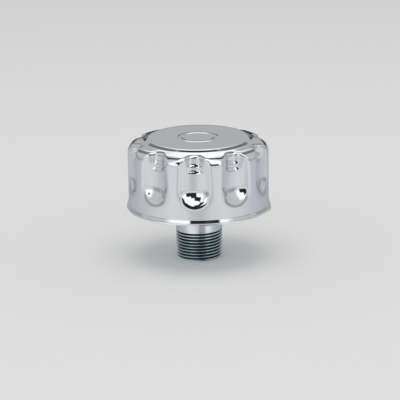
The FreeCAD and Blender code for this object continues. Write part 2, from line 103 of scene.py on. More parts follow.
class BreatherFluteSizes(bpy.types.PropertyGroup):
    """Sizes of the grip flutes and of the vent hoods."""

    count: bpy.props.IntProperty(
        name="Flutes", description="Number of flutes round the cap", default=10, min=3
    )
    depth: length("Depth", "Depth of a flute in the skirt", 5.0 * MM)
    round: length("Round", "Radius of the punch that makes a flute", 14.1 * MM)
    foot: length("Foot", "Height of the punch's ball end above the thread's end", 50.7 * MM)
    flank_edge: length("Flank rounding", "Rounding of a flute's long edges", 2.4 * MM)
    end_edge: length("End rounding", "Rounding of a flute's lower edge", 6.8 * MM)
    top_edge: length("Top rounding", "Rounding from a flute to the shelf", 3.0 * MM)
    lean: length("Lean", "How much shallower a flute is at the shelf", 0.5 * MM)
    dimple: length("Dimple", "How much deeper a flute gets at each upper mark", 1.1 * MM)
    dimple_foot: length("Dimple foot", "Height where the lower of the two marks begins", 57.8 * MM)
    dimple_rise: length("Dimple rise", "Height of each mark", 2.9 * MM)
    dimple_reach: length("Dimple reach", "How far the marks reach beside the middle of a flute", 6.2 * MM)
    vent_round: length("Vent ball", "Radius of the ball that a vent hood is pressed over", 20.0 * MM)
    vent_reach: length("Vent reach", "How far a vent hood stands out", 0.95 * MM)
    vent_height: length("Vent height", "Height of the vent ball's centre", 26.7 * MM)
    vent_turn: turn("Vent turn", "Where the first vent hood is, from +X", -4.6)


class BreatherSpigotSizes(bpy.types.PropertyGroup):
    """Sizes of the threaded spigot."""

    bore: length("Bore", "Radius of the bore", 10.4 * MM)
    end: length("Thread end", "Crest radius at the thread's end", 13.02 * MM)
    chamfer: length("Chamfer", "Chamfer at the thread's end", 0.9 * MM)
    pipe: length("Pipe", "Radius of the plain neck", 13.335 * MM)
    taper: bpy.props.FloatProperty(
        name="Taper",
        description="Length of thread over which its radius grows by one",
        default=32.0,
        min=1.0,
    )
    pitch: length("Pitch", "Distance from crest to crest", 1.814 * MM)
    thread_depth: length("Thread depth", "Height of a full thread", 1.42 * MM)
    full: length("Full thread", "Where the thread begins to run out", 15.6 * MM)
    run_out: length("Run out", "Where the thread has run out", 17.8 * MM)
    collar: length("Collar", "Radius of the collar under the pan", 16.6 * MM)


class BreatherFinishes(bpy.types.PropertyGroup):
    """Colours of the metals and of the other stuff."""

    chrome: colour("Chrome", "Polished chrome of the cap", (0.77, 0.79, 0.82))
    zinc: colour("Zinc", "Zinc plating of the spigot", (0.66, 0.73, 0.78))
    # Painted shade: this colour darkens the zinc deep in the thread's grooves
    groove: colour("Groove", "Zinc in the grooves of the thread", (0.08, 0.125, 0.135))
    tin: colour("Tinplate", "Sheet of the element's plates, tubes and grids", (0.66, 0.66, 0.63))
    paper: colour("Filter paper", "Resin-treated pleated paper", (0.78, 0.66, 0.38))
    fibre: colour("Fibre", "Spigot gasket", (0.16, 0.20, 0.17))
    nitrile: colour("Nitrile", "Element seat ring", (0.05, 0.05, 0.055))
    potting: colour("Potting", "Moulded ends of the pleats", (0.42, 0.10, 0.07))
    wire: colour("Wire", "Knitted wire, clip and spring", (0.55, 0.55, 0.54))


class BreatherStudio(bpy.types.PropertyGroup):
    """Camera and floor of the studio."""

    camera_turn: turn("Camera turn", "Direction of the camera, from the front", 3.4)
    camera_rise: turn("Camera rise", "Height of the camera above the horizon", 15.5)
    camera_roll: turn("Camera roll", "Turn of the picture", 0.78)
    distance: length("Distance", "Distance of the camera from the cap", 1750.0 * MM)
    lens: bpy.props.FloatProperty(name="Lens", description="Focal length", default=272.4, unit="CAMERA")
    aim_height: length("Aim height", "Height that the camera looks at", 33.1 * MM)
    aim_side: length("Aim side", "How far beside the axis the camera looks", 0.71 * MM)
    floor: colour("Floor", "Pale floor and backdrop", (0.61, 0.61, 0.61))


GROUPS = {
    "breather_cap": BreatherCapSizes,
    "breather_flutes": BreatherFluteSizes,
    "breather_spigot": BreatherSpigotSizes,
    "breather_finishes": BreatherFinishes,
    "breather_studio": BreatherStudio,
}


# Sums in node trees
def give(tree, place, thing):
    """Links a worked-out value to a socket, or sets the socket to a constant."""
    if isinstance(thing, Value):
        tree.links.new(thing.socket, place)
    elif isinstance(thing, bpy.types.NodeSocket):
        tree.links.new(thing, place)
    else:
        place.default_value = thing


def add_node(tree, kind, inputs=None, **settings):
    """Adds a node with its settings and its inputs, which are named or numbered."""
    node = tree.nodes.new(kind)
    for name, setting in settings.items():
        setattr(node, name, setting)
    for name, thing in (inputs or {}).items():
        give(tree, node.inputs[name], thing)
    return node


class Value:
    """A number that a node tree works out, for use in plain sums."""

    def __init__(self, tree, socket):
        self.tree = tree
        self.socket = socket

    def step(self, operation, *others):
        """What a Math node makes of it and the others."""
        node = add_node(self.tree, "ShaderNodeMath", operation=operation)
        for place, thing in zip(node.inputs, (self, *others)):
            give(self.tree, place, thing)
        return Value(self.tree, node.outputs[0])

    def __add__(self, other):
        return self.step("ADD", other)

    def __sub__(self, other):
        return self.step("SUBTRACT", other)

    def __rsub__(self, other):
        return (self * -1.0) + other

    def __mul__(self, other):
        return self.step("MULTIPLY", other)

    def __truediv__(self, other):
        return self.step("DIVIDE", other)

    def __rtruediv__(self, other):
        node = add_node(self.tree, "ShaderNodeMath", {0: other, 1: self}, operation="DIVIDE")
        return Value(self.tree, node.outputs[0])

    def __neg__(self):
        return self * -1.0

    def root(self):
        return self.step("MAXIMUM", 0.0).step("SQRT")

    def sine(self):
        return self.step("SINE")

    def cosine(self):
        return self.step("COSINE")

    def most(self, other):
        return self.step("MAXIMUM", other)

    def least(self, other):
        return self.step("MINIMUM", other)

    def above(self, other):
        return self.step("GREATER_THAN", other)

    def nearest(self, period):
        """What is left of it, from minus half a period to half a period."""
        return self - (self / period).step("ROUND") * period

    def eased(self, start, end, low=0.0, high=1.0):
        """Goes smoothly from low at start to high at end."""
        node = add_node(self.tree, "ShaderNodeMapRange", interpolation_type="SMOOTHSTEP")
        for place, thing in zip(node.inputs, (self, start, end, low, high)):
            give(self.tree, place, thing)
        return Value(self.tree, node.outputs[0])

    def mixed(self, low, high):
        """From low to high as it goes from 0 to 1."""
        return self * (high - low) + low


def parts(tree, vector):
    """The three numbers of a vector."""
    node = add_node(tree, "ShaderNodeSeparateXYZ", {0: vector})
    return [Value(tree, socket) for socket in node.outputs]


def joined(tree, across, along, up):
    """A vector of three numbers."""
    return add_node(tree, "ShaderNodeCombineXYZ", {0: across, 1: along, 2: up}).outputs[0]


def hypotenuse(*sides):
    """How long the diagonal of a box with these sides is."""
    return sum((side * side for side in sides[1:]), sides[0] * sides[0]).root()


# Geometry Nodes
def shaping_tree(name, sizes):
    """A Geometry Nodes tree with named inputs for its sizes, as (tree, geometry, inputs by name)."""
    tree = bpy.data.node_groups.new(name, "GeometryNodeTree")
    tree.interface.new_socket("Geometry", in_out="INPUT", socket_type="NodeSocketGeometry")
    tree.interface.new_socket("Geometry", in_out="OUTPUT", socket_type="NodeSocketGeometry")
    for label, size in sizes.items():
        kind = "NodeSocketInt" if isinstance(size, int) else "NodeSocketFloat"
        if isinstance(size, bpy.types.Material):
            kind = "NodeSocketMaterial"
        tree.interface.new_socket(label, in_out="INPUT", socket_type=kind)
    start = tree.nodes.new("NodeGroupInput")
    places = {socket.name: socket for socket in start.outputs if socket.name}
    values = {
        label: places[label] if isinstance(size, bpy.types.Material) else Value(tree, places[label])
        for label, size in sizes.items()
    }
    return tree, places["Geometry"], values


def end_tree(tree, geometry, finish):
    """Ends a tree in Realize Instances and Set Material."""
    real = add_node(tree, "GeometryNodeRealizeInstances", {"Geometry": geometry})
    finished = add_node(tree, "GeometryNodeSetMaterial", {"Geometry": real.outputs[0], "Material": finish})
    tree.links.new(finished.outputs[0], tree.nodes.new("NodeGroupOutput").inputs[0])


def shaped(name, mesh, tree, sizes):
    """The plain mesh that a tree makes of a mesh, as a new object."""
    thing = bpy.data.objects.new(name, mesh)
    bpy.context.scene.collection.objects.link(thing)
    modifier = thing.modifiers.new(tree.name, "NODES")
    modifier.node_group = tree
    for item in tree.interface.items_tree:
        if item.in_out == "INPUT" and item.name in sizes:
            modifier[item.identifier] = sizes[item.name]
    depsgraph = bpy.context.evaluated_depsgraph_get()
    made = bpy.data.meshes.new_from_object(thing.evaluated_get(depsgraph))
    thing.modifiers.clear()
    thing.data = made
    made.name = name
    return thing


def by_label(group, *names):
    """Sizes of a property group, under the labels of a tree's inputs."""
    return {name.replace("_", " ").title(): getattr(group, name) for name in names}


def carry(thing, slot_name, *nodes):
    """A finished piece rides on the body and stands for its nodes, which it hides. Its slot name is not
    used.
    """
    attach(thing, "root")
    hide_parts(*nodes)


def outline(corners, spacing, turn_step=0.14):
    """Points along an outline of (across, up, rounding) corners.

    A fourth number is the spacing of the run before that corner.
    """
    points = []
    last = Vector(corners[0][:2])
    for at, corner in enumerate(corners):
        here = Vector(corner[:2])
        rounding = corner[2] if 0 < at < len(corners) - 1 else 0.0
        arc = [here]
        if rounding > 0.0:
            back = (Vector(corners[at - 1][:2]) - here).normalized()
            on = (Vector(corners[at + 1][:2]) - here).normalized()
            half = back.angle(on) / 2
            centre = here + (back + on).normalized() * (rounding / math.sin(half))
            start, end = (here + way * (rounding / math.tan(half)) - centre for way in (back, on))
            first = math.atan2(start.y, start.x)
            sweep = math.remainder(math.atan2(end.y, end.x) - first, math.tau)
            steps = max(2, math.ceil(abs(sweep) / turn_step))
            angles = [first + sweep * step / steps for step in range(steps + 1)]
            arc = [centre + rounding * Vector((math.cos(angle), math.sin(angle))) for angle in angles]
        run = corner[3] if len(corner) > 3 else spacing
        pieces = max(1, round((arc[0] - last).length / run)) if at else 1
        points += [last.lerp(arc[0], piece / pieces) for piece in range(1, pieces)]
        points += arc
        last = arc[-1]
    return points


def outline_mesh(name, *runs):
    """A mesh of an outline's points in order. Each run is (points, depth, outer), kept as attributes."""
    mesh = bpy.data.meshes.new(name)
    points = [point for run in runs for point in run[0]]
    mesh.from_pydata([(point.x, 0.0, point.y) for point in points], [], [])
    for at, label in ((1, "depth"), (2, "outer")):
        values = [run[at] for run in runs for _ in run[0]]
        mesh.attributes.new(label, "FLOAT", "POINT").data.foreach_set("value", values)
    return mesh


def sampled(tree, geometry, field, index, data_type="FLOAT"):
    """A field's value at one point of a geometry."""
    kind = {"data_type": data_type, "domain": "POINT"}
    return add_node(
        tree, "GeometryNodeSampleIndex", {"Geometry": geometry, "Value": field, "Index": index}, **kind
    ).outputs[0]


def kept(tree, geometry, label, value):
    """The geometry with a named number stored on its points."""
    return add_node(
        tree,
        "GeometryNodeStoreNamedAttribute",
        {"Geometry": geometry, "Name": label, "Value": value},
        data_type="FLOAT",
        domain="POINT",
    ).outputs[0]


def stored(tree, label):
    """The named number that is stored on the points."""
    node = add_node(tree, "GeometryNodeInputNamedAttribute", {"Name": label}, data_type="FLOAT")
    return Value(tree, node.outputs[0])


def moved(tree, geometry, across, angle, up):
    """The geometry with its points at a radius, an angle and a height."""
    place = joined(tree, across * angle.cosine(), across * angle.sine(), up)
    return add_node(tree, "GeometryNodeSetPosition", {"Geometry": geometry, "Position": place}).outputs[0]


def round_place(tree):
    """Radius, angle and height of each point."""
    position = tree.nodes.new("GeometryNodeInputPosition").outputs[0]
    x, y, z = parts(tree, position)
    return hypotenuse(x, y), y.step("ARCTAN2", x), z


def revolved(tree, profile, columns, start, folds, crowding):
    """The profile turned round the axis, its columns crowded together half-way between the folds."""
    rows = add_node(tree, "GeometryNodeAttributeDomainSize", {"Geometry": profile}, component="MESH")
    rows = Value(tree, rows.outputs["Point Count"])
    grid = add_node(tree, "GeometryNodeMeshGrid", {"Vertices X": columns + 1, "Vertices Y": rows})
    grid = grid.outputs[0]
    index = Value(tree, tree.nodes.new("GeometryNodeInputIndex").outputs[0])
    column = (index / rows).step("FLOOR")
    row = index - column * rows
    position = tree.nodes.new("GeometryNodeInputPosition").outputs[0]
    across, _, up = parts(tree, sampled(tree, profile, position, row, "FLOAT_VECTOR"))
    even = column / columns * math.tau
    angle = even + (even * folds).sine() * crowding / folds + start
    for label in ("depth", "outer"):
        grid = kept(tree, grid, label, sampled(tree, profile, stored(tree, label), row))
    turned = moved(tree, grid, across, angle, up)
    merged = add_node(tree, "GeometryNodeMergeByDistance", {"Geometry": turned, "Distance": SMALLEST})
    return merged.outputs[0]


def shaded(tree, geometry, corner=0.6):
    """Smooth faces with sharp edges where two faces meet at more than the corner angle."""
    smooth = add_node(tree, "GeometryNodeSetShadeSmooth", {"Geometry": geometry}, domain="FACE").outputs[0]
    angle = Value(tree, tree.nodes.new("GeometryNodeInputMeshEdgeAngle").outputs[0])
    return add_node(
        tree,
        "GeometryNodeSetShadeSmooth",
        {"Geometry": smooth, "Selection": angle.above(corner), "Shade Smooth": False},
        domain="EDGE",
    ).outputs[0]


# The cap
COLUMNS_PER_FLUTE = 40
COLUMN_CROWDING = 0.4
PRESSING_ROUNDS = 26
# Keeps a sum finite where two faces are in line
LEAST_SPREAD = 0.001
# Where the upper mark begins, in heights of a mark above the foot of the lower one
SECOND_MARK = 1.25
# Share of a mark's reach that has its full depth
FULL_MARK = 0.3
# Share of the punch's radius under its ball's centre at which the end's rounding is full
FULL_END = 0.6
# How far up the cap faces where the rounding at a flute's top begins and where it is full
TOP_FACING = (0.1, 0.6)
BALL_DIVISIONS = 6


def rounded_edge(one, other, cosine, rounding):
    """Distance outside a body that two faces bound, with their edge rounded.

    The cosine is that of the angle between the faces' normals.
    """
    first, second = one + rounding, other + rounding
    inside = (first - second * cosine).above(0.0) * (second - first * cosine).above(0.0)
    spread = (1.0 - cosine * cosine).most(LEAST_SPREAD)
    arc = ((first * first + second * second - first * second * cosine * 2.0) / spread).root() - rounding
    return inside.mixed(one.most(other), arc)


def cap_overlap(tree, size, fluted):
    """How far a point is outside the cap, with or without its flutes."""
    across, angle, up = round_place(tree)
    depth = stored(tree, "depth")
    draft = size["Draft"] * (up - size["Rim Height"]) / (size["Shelf Top"] - size["Rim Height"])
    wall = across - size["Radius"] + draft + depth
    top = (up - size["Shelf Top"]) * size["Slope Up"] + (across - size["Shelf Foot"]) * size["Slope Out"]
    top = top + depth
    rounding = size["Shoulder Rounding"] - depth
    body = rounded_edge(wall, top, size["Slope Out"], rounding)
    if not fluted:
        return body

    face_up = ((top + rounding - (wall + rounding) * size["Slope Out"]) / size["Slope Up"]).most(0.0)
    face_out = (wall + rounding).most(face_up * size["Slope Out"] / size["Slope Up"])
    facing = hypotenuse(face_out, face_up).most(SMALLEST)
    face_out, face_up = face_out / facing, face_up / facing

    local = (angle - size["First Flute"]).nearest(math.tau / size["Flutes"])
    lean = up.eased(size["Flute Foot"], size["Shelf Top"]) * size["Lean"]
    beside = across * local.sine()
    marks = (up - size["Dimple Foot"]) / size["Dimple Rise"]
    marks = marks.eased(0.0, 1.0) + marks.eased(SECOND_MARK, SECOND_MARK + 1.0)
    full_mark = size["Dimple Reach"] * FULL_MARK
    marks = marks * beside.step("ABSOLUTE").eased(full_mark, size["Dimple Reach"], 1.0, 0.0)
    from_axis = across * local.cosine() - size["Flute Axis"] - lean + marks * size["Dimple"]
    below = (up - size["Flute Foot"]).least(0.0)
    reach = hypotenuse(from_axis, beside, below).most(SMALLEST)
    cut = size["Flute Round"] + depth - reach
    away = from_axis * local.cosine() + beside * local.sine()
    cosine = -(away * face_out + below * face_up) / reach

    in_end = (-below).eased(0.0, size["Flute Round"] * FULL_END)
    edge = in_end.mixed(size["Flank Rounding"], size["End Rounding"])
    edge = face_up.eased(*TOP_FACING).mixed(edge, size["Top Rounding"]) - depth
    return rounded_edge(body, cut, cosine, edge)


def cap_tree(sizes):
    """Turns the cap's outline, presses in the flutes, raises the vent hoods and opens them."""
    tree, profile, size = shaping_tree("breather_cap_forming", sizes)
    geometry = revolved(
        tree, profile, size["Columns"], size["First Flute"], size["Flutes"], size["Crowding"]
    )
    # The cap's outline runs down its outer side, which turns the faces inwards
    geometry = add_node(tree, "GeometryNodeFlipFaces", {"Mesh": geometry}).outputs[0]

    across, angle, up = round_place(tree)
    aim_out = across - size["Aim Radius"]
    aim_up = (up - size["Aim Height"]).most(0.0)
    aim = hypotenuse(aim_out, aim_up).most(SMALLEST)
    geometry = kept(tree, geometry, "way_in", -aim_out / aim)
    geometry = kept(tree, geometry, "way_up", -aim_up / aim)
    geometry = kept(tree, geometry, "start", cap_overlap(tree, size, False))

    # Each round moves a point on its way, until it is as far outside the fluted cap as it was outside the
    # plain one
    opened = tree.nodes.new("GeometryNodeRepeatInput")
    closed = tree.nodes.new("GeometryNodeRepeatOutput")
    opened.pair_with_output(closed)
    opened.inputs["Iterations"].default_value = PRESSING_ROUNDS
    tree.links.new(geometry, opened.inputs["Geometry"])
    step = cap_overlap(tree, size, True) - stored(tree, "start")
    across, angle, up = round_place(tree)
    pressed_across = across + stored(tree, "way_in") * step
    pressed_up = up + stored(tree, "way_up") * step
    pressed = moved(tree, opened.outputs["Geometry"], pressed_across, angle, pressed_up)
    tree.links.new(pressed, closed.inputs["Geometry"])
    geometry = closed.outputs["Geometry"]

    across, angle, up = round_place(tree)
    side = (angle - size["Vent Turn"]).nearest(math.pi)
    aside = size["Vent Centre"] * side.sine()
    rise = up - size["Vent Height"]
    chord = size["Vent Ball"] * size["Vent Ball"] - aside * aside - rise * rise
    ball = size["Vent Centre"] * side.cosine() + chord.root()
    # A smooth maximum of the skirt and the ball
    blend = (size["Vent Blend"] - (ball - across).step("ABSOLUTE")).most(0.0)
    hood = ball.most(across) + blend * blend / size["Vent Blend"] / 4.0
    raised = (stored(tree, "outer") * chord.above(0.0)).mixed(across, hood)
    geometry = moved(tree, geometry, raised, angle, up)
    geometry = shaded(tree, geometry)

    inner = {"Radius": size["Vent Ball"] - size["Sheet"], "Subdivisions": BALL_DIVISIONS}
    ball = add_node(tree, "GeometryNodeMeshIcoSphere", inner).outputs[0]
    balls = []
    for way in (1.0, -1.0):
        centre = joined(
            tree,
            size["Vent Centre"] * size["Vent Turn"].cosine() * way,
            size["Vent Centre"] * size["Vent Turn"].sine() * way,
            size["Vent Height"],
        )
        at_vent = add_node(tree, "GeometryNodeTransform", {"Geometry": ball, "Translation": centre})
        balls.append(at_vent.outputs[0])
    opening = add_node(tree, "GeometryNodeMeshBoolean", operation="DIFFERENCE", solver="MANIFOLD")
    tree.links.new(geometry, opening.inputs[0])
    for tool in balls:
        tree.links.new(tool, opening.inputs[1])
    geometry = shaded(tree, opening.outputs[0])
    end_tree(tree, geometry, size["Finish"])
    return tree


def make_cap(finish):
    """The pressed cap: fluted skirt, raised disc with a bead, rolled rim and two vent hoods."""
    cap = bpy.context.scene.breather_cap
    flutes = bpy.context.scene.breather_flutes
    shelf = cap.disc_top - cap.disc_rise
    shelf_foot = cap.disc_radius + cap.riser_run
    slope = math.atan2(cap.shelf_fall, cap.radius - shelf_foot)
    shelf_end = shelf - math.tan(slope) * (cap.radius - cap.draft - shelf_foot)
    half_bead = cap.bead_width / 2
    bead_crown = cap.bead_width / 6
    bead_foot_round, bead_top_round, flare_round = 0.7 * MM, 1.0 * MM, 2.0 * MM
    flat_run, rim_run, outer_run, inner_run = 3.0 * MM, 0.3 * MM, 0.62 * MM, 1.5 * MM
    inner_turn = 0.3

    def skin(inset):
        """Corners of the outer or the inner skin from the pole to the rim."""
        return [
            (0.0, cap.disc_top - inset, 0.0),
            (cap.bead_radius - half_bead, cap.disc_top - inset, bead_foot_round, flat_run),
            (cap.bead_radius - bead_crown, cap.disc_top + cap.bead_rise - inset, bead_top_round),
            (cap.bead_radius + bead_crown, cap.disc_top + cap.bead_rise - inset, bead_top_round),
            (cap.bead_radius + half_bead, cap.disc_top - inset, bead_foot_round),
            (cap.disc_radius - inset, cap.disc_top - inset, cap.edge_round - inset, flat_run),
            (shelf_foot - inset, shelf - inset, cap.edge_round + inset),
            (cap.radius - cap.draft - inset, shelf_end - inset, cap.shoulder_round - inset),
            (cap.radius - cap.rim_flare - inset, cap.rim_height + cap.flare_high, flare_round),
            (cap.radius - inset, cap.rim_height + cap.flare_low, flare_round, rim_run),
            (cap.radius - inset, cap.rim_height + inset, cap.rim_round - inset),
        ]

    lip = cap.radius - cap.lip_width
    outer = outline(skin(0.0) + [(lip, cap.rim_height, 0.0)], outer_run)
    inner = outline(skin(cap.sheet) + [(lip, cap.rim_height + cap.sheet, 0.0)], inner_run, inner_turn)
    flat = cap.rim_height + SMALLEST * 10
    above = [point for point in outer if point.y > flat]
    below = [point for point in outer if point.y <= flat]
    mesh = outline_mesh(
        "cap_outline", (above, 0.0, 1.0), (below, 0.0, 0.0), (inner[::-1], cap.sheet, 0.0)
    )
    sizes = {
        "Columns": COLUMNS_PER_FLUTE * flutes.count,
        "Flutes": float(flutes.count),
        "Crowding": COLUMN_CROWDING,
        "First Flute": -math.pi / 2,
        **by_label(cap, "radius", "draft", "rim_height", "sheet"),
        "Shelf Top": shelf,
        "Shelf Foot": shelf_foot,
        "Slope Out": math.sin(slope),
        "Slope Up": math.cos(slope),
        "Shoulder Rounding": cap.shoulder_round,
        "Aim Radius": 28.0 * MM,
        "Aim Height": 60.0 * MM,
        "Flute Axis": cap.radius - flutes.depth + flutes.round,
        "Flute Round": flutes.round,
        "Flute Foot": flutes.foot,
        "Flank Rounding": flutes.flank_edge,
        "End Rounding": flutes.end_edge,
        "Top Rounding": flutes.top_edge,
        **by_label(flutes, "lean", "dimple", "dimple_foot", "dimple_rise", "dimple_reach"),
        **by_label(flutes, "vent_height", "vent_turn"),
        "Vent Ball": flutes.vent_round,
        "Vent Centre": cap.radius + flutes.vent_reach - flutes.vent_round,
        "Vent Blend": 0.9 * MM,
        "Finish": finish,
    }
    piece = shaped("pressed_cap", mesh, cap_tree(sizes), sizes)
    carry(piece, "chrome_cap", "cap_shell")


# The spigot
SPIGOT_COLUMNS = 180
THREAD_CORNER = 1.2


def spigot_tree(sizes):
    """Turns the spigot's outline and cuts the taper thread into it."""
    tree, profile, size = shaping_tree("breather_spigot_turning", sizes)
    geometry = revolved(tree, profile, size["Columns"], 0.0, 1.0, 0.0)
    across, angle, up = round_place(tree)
    phase = (up / size["Pitch"] - angle / math.tau).step("FRACT")
    ridge = 0.5 - (phase * math.tau).cosine() * 0.5
    gone = up.eased(size["Full Thread"], size["Run Out"])
    crest = size["End Radius"] + up / size["Taper"]
    cut = crest - size["Thread Depth"] * (1.0 - ridge) * (1.0 - gone)
    turned = cut.least(size["Pipe Radius"]).least(up + size["End Radius"] - size["Chamfer"])
    # Depth in the thread's grooves, which the zinc's painted shade follows
    geometry = kept(tree, geometry, "groove", (1.0 - ridge) * (1.0 - gone) * stored(tree, "outer"))
    across, angle, up = round_place(tree)
    geometry = moved(tree, geometry, stored(tree, "outer").mixed(across, turned), angle, up)
    end_tree(tree, shaded(tree, geometry, THREAD_CORNER), size["Finish"])
    return tree


def make_spigot(finish):
    """The turned spigot with its helical taper thread, neck, collar and staked tenon."""
    spigot = bpy.context.scene.breather_spigot
    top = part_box("threaded_spigot")[1].z
    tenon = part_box("backing_washer")[1].z
    collar_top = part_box("spigot_gasket")[0].z
    collar_thickness = 1.6 * MM
    collar_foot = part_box("base_pan")[0].z - collar_thickness
    tenon_radius = 12.3 * MM
    stake = 1.0 * MM
    neck_start = 0.3 * MM
    foot_run, thread_run, upper_run = 1.5 * MM, 0.09 * MM, 2.5 * MM
    upper_turn = 0.3
    # The thread's first point stays clear of the end face's edge, so that they aren't merged
    thread_foot = SMALLEST * 20
    foot = outline([(spigot.bore, 0.0, 0.0), (spigot.end - spigot.chamfer, 0.0, 0.0)], foot_run)
    thread = outline(
        [(spigot.end - spigot.chamfer, thread_foot, 0.0), (spigot.pipe, spigot.run_out, 0.0)],
        thread_run,
    )
    upper = outline(
        [
            # Radius, height and rounding of each corner
            (spigot.pipe, spigot.run_out + neck_start, 0.0),
            (spigot.pipe, collar_foot, 0.5 * MM),
            (spigot.collar, collar_foot, 0.5 * MM),
            (spigot.collar, collar_top, 0.3 * MM),
            (tenon_radius, collar_top, 0.1 * MM),
            (tenon_radius, tenon, 0.05 * MM),
            (tenon_radius + stake, tenon, 0.1 * MM),
            (tenon_radius, top, 0.2 * MM),
            (spigot.bore, top, 0.3 * MM),
            (spigot.bore, 0.2 * MM, 0.0),
        ],
        upper_run,
        upper_turn,
    )
    closing = [Vector((spigot.bore, 0.0))]
    mesh = outline_mesh(
        "spigot_outline", (foot, 0.0, 0.0), (thread, 0.0, 1.0), (upper, 0.0, 0.0), (closing, 0.0, 0.0)
    )
    sizes = {
        "Columns": SPIGOT_COLUMNS,
        **by_label(spigot, "pitch", "taper", "thread_depth", "run_out", "chamfer"),
        "End Radius": spigot.end,
        "Full Thread": spigot.full,
        "Pipe Radius": spigot.pipe,
        "Finish": finish,
    }
    piece = shaped("turned_spigot", mesh, spigot_tree(sizes), sizes)
    carry(piece, "zinc_spigot", "threaded_spigot")


# Surfaces
# Values of the noise between which the uneven tone goes from one to the other
PATCH_EDGE = (0.3, 0.7)
# Share of a turned metal's uneven tone that comes from its rings
RING_SHARE = 0.4
# How deep in the thread its painted shade begins and where it is full, from 0 on the crest to 1 in the root
GROOVE_EDGE = (0.15, 0.75)
# How much rougher the roughest places of paper, fibre, rubber and resin are
ROUGHER = 0.15


def shader_group(name, inputs, outputs):
    """An empty shader node group with named numbers in and named sockets out."""
    tree = bpy.data.node_groups.new(name, "ShaderNodeTree")
    for label, default in inputs.items():
        place = tree.interface.new_socket(label, in_out="INPUT", socket_type="NodeSocketFloat")
        place.default_value = default
    for label, kind in outputs.items():
        tree.interface.new_socket(label, in_out="OUTPUT", socket_type=kind)
    start = tree.nodes.new("NodeGroupInput")
    values = {socket.name: Value(tree, socket) for socket in start.outputs if socket.name}
    return tree, values, tree.nodes.new("NodeGroupOutput")


def noise(tree, scale, detail, vector=None):
    """Noise from 0 to 1, on object coordinates where no vector is given."""
    if vector is None:
        vector = tree.nodes.new("ShaderNodeTexCoord").outputs["Object"]
    node = add_node(tree, "ShaderNodeTexNoise", {"Vector": vector, "Scale": scale, "Detail": detail})
    return Value(tree, node.outputs[0])


def grain_group():
    """Uneven tone and fine relief that every finish here has."""
    tree, values, out = shader_group(
        "metal_grain",
        {"Patch Scale": 60.0, "Grain Scale": 2500.0, "Wave Height": 0.00002, "Grain Height": 0.000002},
        {"Mask": "NodeSocketFloat", "Normal": "NodeSocketVector"},
    )
    patch = noise(tree, values["Patch Scale"], detail=4.0)
    fine = noise(tree, values["Grain Scale"], detail=2.0)
    height = patch * values["Wave Height"] + fine * values["Grain Height"]
    bump = add_node(tree, "ShaderNodeBump", {"Height": height, "Distance": 1.0, "Strength": 1.0})
    give(tree, out.inputs["Mask"], patch.eased(*PATCH_EDGE))
    tree.links.new(bump.outputs[0], out.inputs["Normal"])
    return tree


def turning_group():
    """Rings left by a lathe or a polishing wheel, round the axis."""
    tree, values, out = shader_group(
        "turning_marks",
        {"Rings": 4000.0, "Height": 0.000002},
        {"Mask": "NodeSocketFloat", "Height": "NodeSocketFloat"},
    )
    x, y, z = parts(tree, tree.nodes.new("ShaderNodeTexCoord").outputs["Object"])
    along = joined(tree, z + hypotenuse(x, y), 0.0, 0.0)
    ring = noise(tree, values["Rings"], detail=3.0, vector=along)
    give(tree, out.inputs["Mask"], ring)
    give(tree, out.inputs["Height"], ring * values["Height"])
    return tree


def placed(tree, group, **values):
    """A shader group in a material, with its own values."""
    node = tree.nodes.new("ShaderNodeGroup")
    node.node_tree = group
    for label, value in values.items():
        node.inputs[label.replace("_", " ")].default_value = value
    return node


def surface(name, tint, metallic, roughness):
    """A material with one Principled shader, its constants set on its own sockets."""
    material = bpy.data.materials.new(name)
    material.use_nodes = True
    tree = material.node_tree
    shader = tree.nodes["Principled BSDF"]
    shader.inputs["Base Color"].default_value = (*tint, 1.0)
    shader.inputs["Metallic"].default_value = metallic
    shader.inputs["Roughness"].default_value = roughness
    return material, tree, shader


def toned(tree, tint, other, mask):
    """A colour between two tints."""
    node = tree.nodes.new("ShaderNodeMix")
    node.data_type = "RGBA"
    sockets = {socket.identifier: socket for socket in node.inputs}
    give(tree, sockets["Factor_Float"], mask)
    for place, thing in (("A_Color", tint), ("B_Color", other)):
        give(tree, sockets[place], (*thing, 1.0) if isinstance(thing, tuple) else thing)
    return next(socket for socket in node.outputs if socket.identifier == "Result_Color")


def scaled(tint, amount):
    """A tint made darker or lighter."""
    return tuple(min(1.0, part * amount) for part in tint)


def metal(name, tint, groups, rough, patch, waves, grain, darker, rings=0.0):
    """A metal with uneven tone and roughness, relief, and turning marks where it has them."""
    _, tree, shader = surface(name, tint, 1.0, rough[0])
    grains = placed(tree, groups["grain"], Patch_Scale=patch, Wave_Height=waves, Grain_Height=grain)
    mask = Value(tree, grains.outputs["Mask"])
    normal = grains.outputs["Normal"]
    if rings:
        marks = placed(tree, groups["turning"], Height=rings)
        relief = {"Height": marks.outputs["Height"], "Distance": 1.0, "Normal": normal}
        normal = add_node(tree, "ShaderNodeBump", relief).outputs[0]
        mask = mask * (1.0 - RING_SHARE) + Value(tree, marks.outputs["Mask"]) * RING_SHARE
    give(tree, shader.inputs["Base Color"], toned(tree, tint, scaled(tint, darker), mask))
    give(tree, shader.inputs["Roughness"], mask.mixed(*rough))
    tree.links.new(normal, shader.inputs["Normal"])


def grooved(material, tint):
    """Paints shade on a metal in the grooves of its thread."""
    tree = material.node_tree
    place = tree.nodes["Principled BSDF"].inputs["Base Color"]
    groove = add_node(tree, "ShaderNodeAttribute", attribute_name="groove").outputs["Fac"]
    deep = Value(tree, groove).eased(*GROOVE_EDGE)
    give(tree, place, toned(tree, place.links[0].from_socket, tint, deep))


